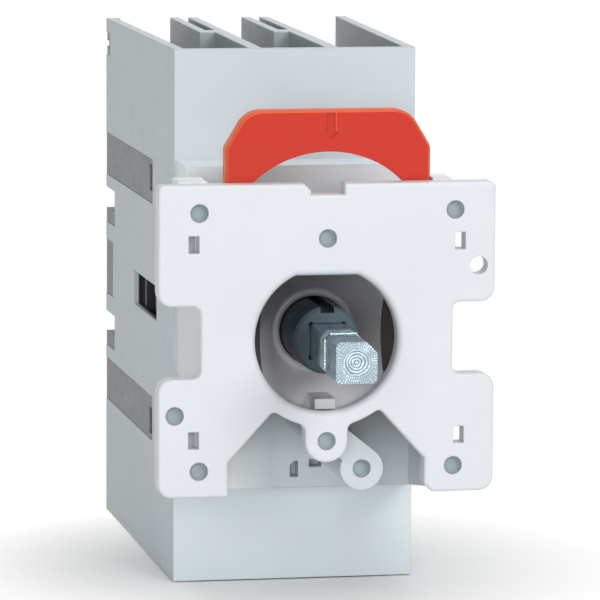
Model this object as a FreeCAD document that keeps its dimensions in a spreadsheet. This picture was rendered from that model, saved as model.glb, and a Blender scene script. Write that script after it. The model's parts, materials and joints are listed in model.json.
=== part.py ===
"""Rotary switch disconnector for door mounting, three poles, with a square drive shaft.

Frame: origin at the centre of the hole pattern on the front face of the mounting plate.
+X is to the right seen from the front, +Y goes into the switch, +Z is up. Millimetres.
"""
import FreeCAD, Part
import Sketcher
import os
import math
import re

doc = FreeCAD.newDocument("disconnect_switch")

# Driving sizes, one cell each, in millimetres unless the name ends in _deg.
SIZES = {
    # mounting plate
    "plate_half_width": 23.75, "plate_top": 21.85, "plate_bottom": 21.7, "plate_thick": 2.8,
    "plate_corner": 2.0, "plate_top_corner": 0.9, "plate_edge_round": 0.45, "inner_corner": 1.1,
    "side_notch_deep": 5.95, "side_notch_half": 5.05,
    "foot_inner": 13.9, "foot_shoulder": 16.85, "foot_bevel": 1.2,
    "apex_side": 7.3, "apex_drop": 9.58, "apex_round": 0.8, "ring_radius": 12.3,
    "ear_radius": 3.03, "ear_drop": 14.15,
    "window_radius": 10.05, "window_flat": 9.05, "window_round": 1.0,
    "grip_half": 2.35, "grip_depth": 1.55, "grip_bevel": 0.95,
    "pattern_half": 18.0, "upper_hole_rise": 14.25, "side_hole_in": 2.35, "side_hole_level": 10.15,
    "hole_radius": 1.28, "pilot_deep": 1.2,
    "slot_out": 18.75, "slot_level": 13.65, "slot_wide": 1.5, "slot_tall": 2.4,
    # runners for the slide, behind the plate
    "runner_outer": 17.4, "runner_depth": 4.7, "runner_foot": 5.4, "runner_lap": 1.5,
    "runner_gap": 0.6, "horn_reach": 20.6, "horn_right_in": 1.7, "horn_left_in": 0.85,
    "horn_rise": 0.35, "horn_tall": 5.0, "horn_bevel": 1.1,
    # release slide
    "slide_half": 14.45, "slide_shift": 0.6, "slide_top": 31.8, "slide_thick": 2.5, "slide_bevel_side": 3.1,
    "slide_bevel_drop": 5.2, "slide_arch_radius": 15.5, "slide_arch_level": 10.5,
    "slide_leg_wide": 2.5, "slide_leg_end": -8.4, "slide_play": 0.25,
    "slide_round": 3.8, "slide_shoulder_round": 1.6, "slide_edge": 0.38, "slide_hook": 0.4, "slide_hook_tall": 2.5,
    "arrow_tall": 3.7, "arrow_wide": 2.1, "arrow_stem": 1.15, "arrow_depth": 0.35, "arrow_gap": 0.4, "arrow_shift": 0.4,
    # front housing
    "body_front": 25.5, "front_half": 17.2, "front_top": 22.6, "front_bottom": 24.3, "front_rise": 2.8,
    "front_slab": 5.0, "front_step": 8.0, "front_step_floor": 13.0,
    "tower_left": 8.1, "tower_right": 8.9, "tower_radius": 12.3, "cone_mouth": 10.9, "cone_start": 4.0,
    "collar_level": 10.6, "collar_radius": 6.1,
    "front_wall": 1.2, "front_wall_top": 17.0, "front_wall_foot": 8.0,
    "boss_x": 5.8, "boss_drop": 18.85, "boss_radius": 3.05, "boss_front": 4.0,
    "post_radius": 2.0, "arm_low": 0.8, "key_half": 1.45, "key_level": 8.4,
    "latch_wide": 1.2, "latch_tall": 2.3, "latch_x": 0.8, "latch_drop": 21.6, "latch_cut": 0.6, "latch_deep": 2.5,
    "catch_slot_wide": 1.8, "catch_slot_tall": 1.1, "catch_slot_x": 2.3, "catch_slot_drop": 20.8,
    "key_start": 1.4, "key_play": 0.2,
    # rear housing
    "rear_depth": 59.0, "rear_half_front": 17.5, "rear_half_back": 18.8, "rear_half_height": 38.5,
    "wall": 1.5, "side_wall": 1.5, "well_floor": 22.5, "chamber_half": 20.5, "cover_thick": 9.0,
    "fin_x": 5.6, "fin_front": 1.85, "fin_rear": 4.15, "fin_slot": 1.5,
    "fin_split": 30.5, "fin_web": 3.5, "fin_offset": 1.15, "lip_reach": 0.5, "lip_deep": 1.4, "lip_tall": 1.2,
    "band_front": 17.8, "band_low": 14.4, "band_high": 20.8, "band_sink": 0.7,
    "catch_wide": 2.6, "catch_tall": 3.9, "catch_sink": 0.6, "catch_start": 0.1, "catch_rise": 0.5,
    "window_front": 14.2, "window_back": 33.6, "window_half": 2.55, "window_wall": 1.0, "window_margin": 1.0,
    "vane_sink": 0.3, "vane_long": 3.4, "vane_back": 1.2, "vane_reach": 8.0, "vane_half": 3.3,
    "vane_first": 9.0, "vane_second": 15.0, "vane_thick": 1.3, "vane_step": 0.65,
    "groove_deep": 7.8, "groove_high": 12.4, "groove_low": 9.1, "groove_lower_top": 7.0,
    "groove_lower_end": 10.2, "pocket_tall": 2.1,
    "rail_half": 4.2, "rail_long": 6.2,
    "corner_pocket_low": 32.9, "corner_pocket_high": 36.4, "corner_pocket_deep": 3.6,
    "corner_sink": 0.15, "corner_hole_radius": 0.9, "corner_hole_in": 0.8,
    # rear cover
    "cover_in": 0.4, "cover_half_height": 22.0, "cover_play": 0.15, "arm_flush": 0.08, "arm_bridge": 1.5,
    "cover_rib": 6.0, "cover_skin": 3.0, "cover_margin": 1.5,
    # drive line
    "shaft_end": 21.0, "head_square": 5.65, "head_long": 8.0, "neck_square": 4.8, "neck_long": 9.0, "shoulder_lip": 0.1, "shoulder_long": 3.2,
    "head_cut": 0.45, "head_big_cut": 1.5, "shaft_grip": 14.0, "socket_play": 0.05, "socket_relief": 0.35,
    "coupler_radius": 4.75, "coupler_lead": 0.5, "flange_gap": 0.2, "turning_play": 0.07,
    "keyway_wide": 1.9, "keyway_deep": 0.9, "flange_radius": 6.5, "flange_thick": 1.5,
    "drum_radius": 6.5, "drum_gap": 2.0, "tenon": 4.0, "tenon_square": 4.0,
    "stub_radius": 2.5, "stub_long": 3.5,
    "spring_radius": 7.6, "spring_wire": 0.9, "spring_turns": 3.0, "spring_gap": 2.0,
    # contacts
    "pole_pitch": 11.6, "pole_shift": 0.75, "deck_start": 15.5, "deck_end": 6.5,
    "blade_reach": 11.0, "blade_wide": 5.0, "blade_thick": 1.5, "blade_play": 0.2, "blade_tip": 1.0,
    "jaw_leaf": 1.0, "jaw_inner": 8.6, "jaw_root": 11.6, "bar_wide": 4.0, "bar_thick": 1.4,
    "bar_level": 17.0, "bar_over": 1.2, "bar_play": 0.15,
    "clamp_wide": 5.6, "clamp_deep": 7.6, "clamp_tall": 7.0, "clamp_wall": 1.0, "clamp_side": 0.75,
    "clamp_gap": 0.3, "clamp_play": 0.1, "screw_lift": 3.0,
    "screw_radius": 1.9, "screw_head_radius": 2.6, "screw_head": 1.6, "screw_long": 5.0,
    "fixing_radius": 1.2, "fixing_head_radius": 2.1, "fixing_head": 1.2, "fixing_long": 6.0, "fixing_play": 0.05,
    "boss_wall": 1.3, "cover_boss_wall": 1.8, "cover_boss_long": 4.0, "cover_bite": 1.5, "head_sunk": 0.2,
    "fixing_in": 2.8, "fixing_z": 10.2, "cover_screw_z": 16.0, "head_slot": 0.7,
}

sheet = doc.addObject("Spreadsheet::Sheet", "Dims")
for row, (word, value) in enumerate(SIZES.items(), start=1):
    sheet.set(f"A{row}", word)
    sheet.set(f"B{row}", str(value))
    sheet.setAlias(f"B{row}", word)
doc.recompute()

WORD = re.compile(r"[a-z_][a-z0-9_]*")

# Places that several pieces share, worked out from the sizes.
BACK = "(body_front+rear_depth)"
COVER_START = "(body_front+rear_depth-cover_thick)"
DRUM_START = "(body_front+wall+flange_gap+flange_thick)"
DRUM_END = "(body_front+rear_depth-cover_thick-drum_gap)"
DECK_STEP = "((rear_depth-cover_thick-deck_start-deck_end)/2)"
TERMINAL = f"(body_front+deck_start+{DECK_STEP})"
CLAMP_FRONT = f"({TERMINAL}-bar_thick/2-clamp_play-clamp_wall)"
CLAMP_FOOT = "(well_floor+clamp_gap)"
NOTCH_WALL = "(plate_half_width-side_notch_deep)"
SIDE_HOLE = "(plate_half_width-side_hole_in)"
CHAMBER_SIDE = "(min(rear_half_front;rear_half_back)-side_wall)"
FIXING_X = f"({CHAMBER_SIDE}-fixing_in)"
COVER_HALF = f"({CHAMBER_SIDE}-cover_in)"


def bound(text):
    """Expression text with each size's name pointed at its cell."""
    return WORD.sub(lambda m: f"Dims.{m.group(0)}" if m.group(0) in SIZES else m.group(0), str(text))


def bind(obj, **sizes):
    for field, text in sizes.items():
        obj.setExpression(field.replace("__", "."), bound(text))
    return obj


def seat(obj, x, y, z):
    return bind(obj, Placement__Base__x=x, Placement__Base__y=y, Placement__Base__z=z)


def size(word):
    return float(sheet.get(word))


FACING = {
    "x": FreeCAD.Rotation(FreeCAD.Vector(0, 1, 0), 90),
    "y": FreeCAD.Rotation(FreeCAD.Vector(1, 0, 0), -90),
    "z": FreeCAD.Rotation(),
}


def box(name, x, y, z):
    """A block between three (low, high) pairs."""
    block = doc.addObject("Part::Box", name)
    bind(block, Length=f"({x[1]})-({x[0]})", Width=f"({y[1]})-({y[0]})", Height=f"({z[1]})-({z[0]})")
    return seat(block, x[0], y[0], z[0])


def rod(name, axis, radius, start, length):
    """A cylinder that starts at a point and runs along +X, +Y or +Z."""
    bar = doc.addObject("Part::Cylinder", name)
    bar.Placement = FreeCAD.Placement(FreeCAD.Vector(), FACING[axis])
    bind(bar, Radius=radius, Height=length)
    return seat(bar, *start)


def funnel(name, radius_front, radius_back, start, length):
    cone = doc.addObject("Part::Cone", name)
    cone.Placement = FreeCAD.Placement(FreeCAD.Vector(), FACING["y"])
    bind(cone, Radius1=radius_front, Radius2=radius_back, Height=length)
    return seat(cone, *start)


def ring(name, major, minor, x, y, z):
    torus = doc.addObject("Part::Torus", name)
    torus.Placement = FreeCAD.Placement(FreeCAD.Vector(), FACING["y"])
    bind(torus, Radius1=major, Radius2=minor)
    return seat(torus, x, y, z)


def joined(name, pieces):
    whole = doc.addObject("Part::MultiFuse", name)
    whole.Shapes = pieces
    whole.Refine = True
    return whole


def common(name, first, second):
    shared = doc.addObject("Part::MultiCommon", name)
    shared.Shapes = [first, second]
    return shared


def less(name, base, tools):
    """Base with every tool taken out of it."""
    tool = tools[0] if len(tools) == 1 else joined(f"{name}_tools", tools)
    rest = doc.addObject("Part::Cut", name)
    rest.Base, rest.Tool = base, tool
    return rest


def rounded(name, base, radius, chosen, kind="Part::Fillet"):
    """Base with the edges that chosen(edge) picks rounded, or bevelled."""
    doc.recompute()
    work = doc.addObject(kind, name)
    work.Base = base
    work.Edges = [(i, size(radius), size(radius))
                  for i, edge in enumerate(base.Shape.Edges, start=1) if chosen(edge)]
    return work


def origin_plane(body, role):
    return next(f for f in body.Origin.OriginFeatures if f.Role == role)


def outline(body, name, role, corners):
    """A closed sketch of straight lines whose corners are pairs of bound expressions."""
    sketch = body.newObject("Sketcher::SketchObject", name)
    sketch.AttachmentSupport = (origin_plane(body, role), "")
    sketch.MapMode = "FlatFace"
    values = [[sheet_value(text) for text in corner] for corner in corners]
    for i, (across, up) in enumerate(values):
        nxt = values[(i + 1) % len(values)]
        sketch.addGeometry(Part.LineSegment(FreeCAD.Vector(across, up, 0), FreeCAD.Vector(*nxt, 0)))
    for i in range(len(corners)):
        sketch.addConstraint(Sketcher.Constraint("Coincident", i, 2, (i + 1) % len(corners), 1))
    for i, corner in enumerate(corners):
        for kind, text, value in zip(("DistanceX", "DistanceY"), corner, values[i]):
            index = sketch.addConstraint(Sketcher.Constraint(kind, -1, 1, i, 1, value))
            sketch.setExpression(f"Constraints[{index}]", bound(text))
    return sketch


def sheet_value(text):
    """The number that a bound expression stands for now."""
    plain = WORD.sub(lambda m: repr(size(m.group(0))) if m.group(0) in SIZES else m.group(0), str(text))
    return float(FreeCAD.Units.Quantity(plain).Value)


def padded(body, sketch, length, reverse=False):
    pad = body.newObject("PartDesign::Pad", f"{sketch.Name}_pad")
    pad.Profile = sketch
    pad.Reversed = reverse
    bind(pad, Length=length)
    body.Tip = pad
    doc.recompute()
    return pad


NODES = {}


def keep(node, obj):
    """Names the finished sub-part, which gives its file its name."""
    obj.Label = node
    NODES[node] = obj
    return obj


def both(sign, low, high):
    """A (low, high) pair on the side of zero that sign names."""
    return (low, high) if sign > 0 else (f"-({high})", f"-({low})")


def near(a, b, gap=0.02):
    return abs(a - b) < gap


def along_y(edge, x, z):
    """True for a straight edge that runs along Y at this x and z."""
    ends = [v.Point for v in edge.Vertexes]
    return len(ends) == 2 and all(near(p.x, x) and near(p.z, z) for p in ends)


def face_rim(shape, y):
    """A test for the edges round the outside of the flat face at this depth."""
    flat = [f for f in shape.Faces if near(f.BoundBox.YMin, y) and near(f.BoundBox.YMax, y)]
    widest = max(flat, key=lambda f: f.Area)
    return lambda edge: any(edge.isSame(rim) for rim in widest.OuterWire.Edges)


# Mounting plate: one moulding with the hole pattern, the window and the two runners
def plate_outline():
    right = [
        ("grip_half", "plate_top"), ("plate_half_width", "plate_top"),
        ("plate_half_width", "side_notch_half"), (NOTCH_WALL, "side_notch_half"),
        (NOTCH_WALL, "-side_notch_half"), ("plate_half_width", "-side_notch_half"),
        ("plate_half_width", "-plate_bottom"), ("foot_inner+foot_bevel", "-plate_bottom"),
        ("foot_inner", "foot_bevel-plate_bottom"), ("foot_inner", "-foot_shoulder"),
        ("apex_side", "-apex_drop"),
    ]
    left = [
        ("-apex_side", "-apex_drop"), ("-foot_inner", "-foot_shoulder"),
        ("-foot_inner", "-plate_bottom"), ("-plate_half_width", "-plate_bottom"),
        ("-plate_half_width", "-side_notch_half"), (f"-{NOTCH_WALL}", "-side_notch_half"),
        (f"-{NOTCH_WALL}", "side_notch_half"), ("-plate_half_width", "side_notch_half"),
        ("-plate_half_width", "plate_top"), ("-grip_half-grip_bevel", "plate_top"),
        ("-grip_half", "plate_top-grip_bevel"), ("-grip_half", "plate_top-grip_depth"),
        ("grip_half", "plate_top-grip_depth"),
    ]
    return right + left


def window_rim(edge):
    """True for the front edges of the window."""
    span, reach = edge.BoundBox, size("window_radius") + 0.05
    flat = near(span.YMin, 0) and near(span.YMax, 0)
    return flat and max(-span.XMin, span.XMax, -span.ZMin, span.ZMax) < reach


def ring_meets_foot(edge):
    """True for the two inner corners where the feet run into the ring."""
    start = edge.Vertexes[0].Point
    on_ring = near(math.hypot(start.x, start.z), size("ring_radius"))
    return on_ring and start.z < 0 and abs(start.x) > size("ear_radius") + 1 and along_y(edge, start.x, start.z)


def mounting_plate():
    body = doc.addObject("PartDesign::Body", "plate_body")
    padded(body, outline(body, "plate_sketch", "XZ_Plane", plate_outline()), "plate_thick", reverse=True)
    wide, high, low = size("plate_half_width"), size("plate_top"), size("plate_bottom")
    notch, wall = size("side_notch_half"), sheet_value(NOTCH_WALL)
    corners = [(s * wide, z) for s in (1, -1) for z in (notch, -notch, -low)]
    blank = rounded("plate_corners", body, "plate_corner",
                    lambda e: any(along_y(e, x, z) for x, z in corners))
    blank = rounded("plate_top_corners", blank, "plate_top_corner",
                    lambda e: any(along_y(e, s * wide, high) for s in (1, -1)))
    insides = [(s * wall, t * notch) for s in (1, -1) for t in (1, -1)]
    blank = rounded("plate_insides", blank, "inner_corner",
                    lambda e: any(along_y(e, x, z) for x, z in insides))
    web = joined("plate_web", [
        blank,
        rod("plate_ring", "y", "ring_radius", ("0", "0", "0"), "plate_thick"),
        box("plate_ear_neck", ("-ear_radius", "ear_radius"), ("0", "plate_thick"), ("-ear_drop", "0")),
        rod("plate_ear", "y", "ear_radius", ("0", "0", "-ear_drop"), "plate_thick"),
    ])
    doc.recompute()
    root_z = -(size("ring_radius") ** 2 - size("ear_radius") ** 2) ** 0.5
    roots = [(s * size("ear_radius"), root_z) for s in (1, -1)]
    web = rounded("plate_ear_roots", web, "inner_corner",
                  lambda e: any(along_y(e, x, z) for x, z in roots))
    doc.recompute()
    web = rounded("plate_apexes", web, "apex_round", ring_meets_foot)
    window = less("plate_window_void", rod("plate_window", "y", "window_radius", ("0", "-1", "0"),
                                           "plate_thick+2"),
                  [box("plate_window_flat", ("-window_radius", "window_radius"), ("-2", "plate_thick+2"),
                       ("window_flat", "window_radius+1"))])
    web = less("plate_with_window", web, [window])
    doc.recompute()
    web = rounded("plate_front_round", web, "plate_edge_round", face_rim(web.Shape, 0))
    doc.recompute()
    web = rounded("plate_window_round", web, "window_round", window_rim)
    spots = [(f"{s}*pattern_half", f"{t}*pattern_half") for s in (1, -1) for t in (1, -1)]
    spots += [("0", "upper_hole_rise"), ("0", "-ear_drop"), (f"-{SIDE_HOLE}", "-side_hole_level")]
    voids = [rod(f"pilot_{i}", "y", "hole_radius", (x, "-1", z), "pilot_deep+1")
             for i, (x, z) in enumerate(spots)]
    voids.append(rod("locating_hole", "y", "hole_radius", (SIDE_HOLE, "-1", "side_hole_level"),
                     "plate_thick+2"))
    for i, (s, t) in enumerate([(1, 1), (1, -1), (-1, 1), (-1, -1)]):
        x, z = f"{s}*slot_out", f"{t}*slot_level"
        voids.append(box(f"plate_slot_{i}", (f"{x}-slot_wide/2", f"{x}+slot_wide/2"),
                         ("-1", "plate_thick+1"), (f"{z}-slot_tall/2", f"{z}+slot_tall/2")))
    pieces = [less("plate_pierced", web, voids)]
    back = "plate_thick+runner_depth"
    foot, top = "-runner_foot", "slot_level-slot_tall/2-runner_gap"
    for sign, side in ((1, "right"), (-1, "left")):
        inner = f"slide_half+slide_play+({sign})*slide_shift"
        pieces.append(box(f"runner_{side}", both(sign, inner, "runner_outer"), ("plate_thick", back),
                          (foot, top)))
        pieces.append(box(f"runner_lip_{side}", both(sign, f"{inner}-runner_lap", "runner_outer"),
                          ("plate_thick+slide_thick+2*slide_play", back), (foot, top)))
    right_horn = ("slide_half+slide_play+slide_shift", "horn_reach-horn_right_in")
    left_horn = ("-horn_reach", "-(slide_half+slide_play+horn_left_in)")
    for side, x in (("right", right_horn), ("left", left_horn)):
        horn = box(f"horn_block_{side}", x, ("plate_thick", back),
                   ("plate_top+horn_rise-horn_tall", "plate_top+horn_rise"))
        doc.recompute()
        crest, edge_x = size("plate_top") + size("horn_rise"), sheet_value(x[1])
        pieces.append(rounded(f"horn_{side}", horn, "horn_bevel",
                              lambda e: along_y(e, edge_x, crest), "Part::Chamfer"))
    keep("mounting_plate", joined("plate_moulding", pieces))


# Release slide: a flat arch with two legs that run behind the plate
def release_slide():
    body = doc.addObject("PartDesign::Body", "slide_body")
    side = [
        ("slide_half+slide_hook", "slide_leg_end"), ("slide_half+slide_hook", "slide_leg_end+slide_hook_tall"),
        ("slide_half", "slide_leg_end+slide_hook_tall"), ("slide_half", "slide_top-slide_bevel_drop"),
        ("slide_half-slide_bevel_side", "slide_top"),
    ]
    mirrored = [(f"-({x})", z) for x, z in reversed(side)]
    padded(body, outline(body, "slide_sketch", "XZ_Plane", side + mirrored), "slide_thick", reverse=True)
    inner = "slide_half-slide_leg_wide"
    arch = common("slide_arch", rod("slide_arch_disc", "y", "slide_arch_radius",
                                    ("0", "-1", "slide_arch_level"), "slide_thick+2"),
                  box("slide_arch_limit", (f"-({inner})", inner), ("-1", "slide_thick+1"),
                      ("slide_arch_level", "slide_top")))
    gap = box("slide_leg_gap", (f"-({inner})", inner), ("-1", "slide_thick+1"),
              ("slide_leg_end-1", "slide_arch_level"))
    doc.recompute()
    work = less("slide_blank", body, [arch, gap])
    side_x, top = size("slide_half"), size("slide_top")
    shoulders = [(s * side_x, top - size("slide_bevel_drop")) for s in (1, -1)]
    crests = [(s * (side_x - size("slide_bevel_side")), top) for s in (1, -1)]
    work = rounded("slide_crests", work, "slide_round", lambda e: any(along_y(e, x, z) for x, z in crests))
    work = rounded("slide_shoulders", work, "slide_shoulder_round",
                   lambda e: any(along_y(e, x, z) for x, z in shoulders))
    doc.recompute()
    rim, inside = face_rim(work.Shape, 0), sheet_value(inner) + 0.1
    crown = sheet_value("slide_arch_level+slide_arch_radius") + 0.1

    def outer(edge):
        span = edge.BoundBox
        return rim(edge) and (max(-span.XMin, span.XMax) > inside or span.ZMin > crown)

    work = rounded("slide_edged", work, "slide_edge", outer, "Part::Chamfer")
    arrow = doc.addObject("PartDesign::Body", "arrow_body")
    tip = "slide_top-arrow_gap-arrow_tall"
    half = [("0", tip), ("arrow_wide/2", f"{tip}+arrow_wide/2"), ("arrow_stem/2", f"{tip}+arrow_wide/2"),
            ("arrow_stem/2", "slide_top-arrow_gap")]
    other = [(f"-({x})", z) for x, z in reversed(half[1:])]
    padded(arrow, outline(arrow, "arrow_sketch", "XZ_Plane", half + other), "arrow_depth+1", reverse=True)
    bind(arrow, Placement__Base__x="arrow_shift", Placement__Base__y="-1")
    slide = less("slide_marked", work, [arrow])
    keep("release_slide", seat(slide, "slide_shift", "plate_thick+slide_play", "0"))


# Front housing: the moulding between the plate and the switch body
def front_housing():
    slab_front = "body_front-front_slab"
    step_front = "body_front-front_step"
    pieces = [
        box("front_upper", ("-front_half", "front_half"), (slab_front, "body_front"),
            ("0", "front_top")),
        box("front_lower", ("-front_half", "front_half"), (slab_front, "body_front"),
            ("-front_bottom", "0")),
        box("front_ledge", ("-front_half", "front_half"), (step_front, slab_front),
            ("front_step_floor", "front_top")),
        common("tower", rod("tower_round", "y", "tower_radius", ("0", "plate_thick", "0"),
                            f"{slab_front}-plate_thick"),
               box("tower_flats", ("-tower_left", "tower_right"), ("plate_thick", slab_front),
                   ("-tower_radius", "tower_radius"))),
        rod("ear_post", "y", "post_radius", ("0", "plate_thick", "-ear_drop"), f"{slab_front}-plate_thick"),
        rod("boss_post", "y", "boss_radius", ("boss_x", "boss_front", "-boss_drop"),
            f"{slab_front}-boss_front"),
    ]
    arm = doc.addObject("PartDesign::Body", "boss_arm_body")
    across, up = 0.61, 0.79  # square to the line from the ear to the boss
    arm_points = [(f"-arm_low*{across}", f"-ear_drop-arm_low*{up}"),
                  (f"boss_x-arm_low*{across}", f"-boss_drop-arm_low*{up}"),
                  (f"boss_x+boss_radius*{across}", f"-boss_drop+boss_radius*{up}"),
                  (f"boss_radius*{across}", f"-ear_drop+boss_radius*{up}")]
    padded(arm, outline(arm, "boss_arm_sketch", "XZ_Plane", arm_points), f"{slab_front}-boss_front",
           reverse=True)
    bind(arm, Placement__Base__y="boss_front")
    pieces.append(arm)
    for sign, side in ((1, "right"), (-1, "left")):
        wall = doc.addObject("PartDesign::Body", f"front_wall_low_{side}_body")
        wall_points = [("plate_thick", "front_rise-front_bottom"), (slab_front, "-front_bottom"),
                       (slab_front, "-front_wall_foot"), ("plate_thick", "-front_wall_foot")]
        padded(wall, outline(wall, f"front_wall_low_{side}", "YZ_Plane", wall_points), "front_wall")
        pieces.append(bind(wall, Placement__Base__x=both(sign, "front_half-front_wall", "front_half")[0]))
        pieces.append(box(f"front_wall_high_{side}", both(sign, "front_half-front_wall", "front_half"),
                          ("plate_thick+runner_depth+slide_play", slab_front), ("-front_wall_foot", "front_wall_top")))
    shell = joined("front_shell", pieces)
    turning = "coupler_radius+turning_play"
    voids = [
        funnel("front_cone", "cone_mouth", "collar_radius", ("0", "cone_start", "0"),
               "collar_level-cone_start"),
        rod("front_mouth", "y", "cone_mouth", ("0", "plate_thick-1", "0"), "cone_start-plate_thick+1"),
        rod("front_bore", "y", turning, ("0", "plate_thick", "0"), "body_front"),
    ]
    for sign in (1, -1):
        voids += [rod(f"front_fixing_{sign}_{t}".replace("-", "m"), "y", "fixing_radius+fixing_play",
                      (f"{sign}*{FIXING_X}", "plate_thick", f"{t}*fixing_z"), "body_front")
                  for t in (1, -1)]
    floor = (f"{slab_front}-1", f"{slab_front}+latch_deep")
    latch = box("latch_block", ("-latch_x-latch_wide/2", "-latch_x+latch_wide/2"), floor,
                ("-latch_drop-latch_tall/2", "-latch_drop+latch_tall/2"))
    doc.recompute()
    latch_side, latch_top = sheet_value("-latch_x-latch_wide/2"), sheet_value("-latch_drop+latch_tall/2")
    voids.append(rounded("latch_slot", latch, "latch_cut", lambda e: along_y(e, latch_side, latch_top),
                         "Part::Chamfer"))
    voids.append(box("catch_slot", ("catch_slot_x-catch_slot_wide/2", "catch_slot_x+catch_slot_wide/2"), floor,
                     ("-catch_slot_drop-catch_slot_tall/2", "-catch_slot_drop+catch_slot_tall/2")))
    voids.append(rod("boss_pilot", "y", "hole_radius", ("boss_x", "boss_front-1", "-boss_drop"),
                     "pilot_deep+1"))
    bored = less("front_bored", shell, voids)
    lip = less("front_lip", ring("front_lip_ring", "(collar_radius+coupler_radius+turning_play)/2",
                                 "(collar_radius-coupler_radius-turning_play)/2", "0", "collar_level", "0"),
               [rod("front_lip_bore", "y", turning, ("0", "0", "0"), "body_front")])
    key = box("front_key", ("-key_half", "key_half"), ("plate_thick", "collar_level"),
              ("-cone_mouth", "-key_level"))
    nose = box("front_key_nose", ("-key_half", "key_half"), ("key_start", "plate_thick+1"),
               ("-window_radius+key_play", "-key_level"))
    keep("front_housing", joined("front_moulding", [bored, lip, key, nose]))


# Rear housing: the grey switch body with the terminal wells
def tapered(name, inset, low, high):
    """The body's plan, narrower at the front, set in by a margin at the sides."""
    body = doc.addObject("PartDesign::Body", f"{name}_body")
    plan = [("-(rear_half_front-({0}))", "body_front"), ("rear_half_front-({0})", "body_front"),
            ("rear_half_back-({0})", BACK), ("-(rear_half_back-({0}))", BACK)]
    corners = [(x.format(inset), y) for x, y in plan]
    padded(body, outline(body, f"{name}_sketch", "XY_Plane", corners), f"({high})-({low})")
    bind(body, Placement__Base__z=low)
    return body


def across(name, y, z):
    """A block over the whole width of the switch."""
    return box(name, ("-rear_half_back-1", "rear_half_back+1"), y, z)


def groove(name, low, high):
    """A slot across the whole back of the switch."""
    return across(name, (f"{BACK}-groove_deep", f"{BACK}+1"), (low, high))


def side_recess(name, core, y, z):
    """A shallow recess in both side faces, as deep as the core lies inside them."""
    return less(name, across(f"{name}_block", y, z), [core])


# Where the dark base shows at the sides: name, front end and the two heights.
GROOVES = (("upper", "groove_low", "groove_high"), ("lower", "-groove_lower_end", "-groove_lower_top"))
ARMS = [
    ("arm_upper", "body_front+band_front", "band_low", "band_high"),
    ("arm_lower", "body_front+band_front", "-band_high", "-band_low"),
    ("arm_rail", f"{BACK}-rail_long", "-rail_half", "rail_half"),
] + [(f"arm_pocket_{side}", f"{BACK}-groove_deep", f"{low}-pocket_tall", low) for side, low, high in GROOVES]


def catch(sign, name, start, core):
    """The pocket near the front end of a band, where the base's arm snaps in."""
    middle = f"({sign})*((band_low+band_high)/2+catch_rise)"
    return side_recess(name, core, (start, f"{start}+catch_wide"),
                       (f"{middle}-catch_tall/2", f"{middle}+catch_tall/2"))


def well(sign, name):
    """The open space for the terminals above or below the chamber."""
    low, high = both(sign, "well_floor", "rear_half_height+1")
    return common(name, tapered(f"{name}_plan", "wall", low, high),
                  box(f"{name}_reach", ("-rear_half_back", "rear_half_back"),
                      ("body_front+wall", f"{BACK}+1"), (low, high)))


def fin(sign, side, name):
    """A wall between two wells, single in front and double behind."""
    x, x_rear = f"({side})*fin_x", f"(({side})*fin_x-fin_offset)"
    z = both(sign, "(well_floor+cover_half_height+cover_play)/2", "rear_half_height")
    split = "body_front+fin_split"
    pieces = [
        box(f"{name}_front", (f"{x}-fin_front/2", f"{x}+fin_front/2"), ("body_front+wall/2", split), z),
        box(f"{name}_rear", (f"{x_rear}-fin_rear/2", f"{x_rear}+fin_rear/2"), (split, BACK), z),
    ]
    gap = box(f"{name}_gap", (f"{x_rear}-fin_slot/2", f"{x_rear}+fin_slot/2"), (f"{split}+fin_web", f"{BACK}+1"),
              both(sign, "well_floor", "rear_half_height+1"))
    return less(name, joined(f"{name}_walls", pieces), [gap])


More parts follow.
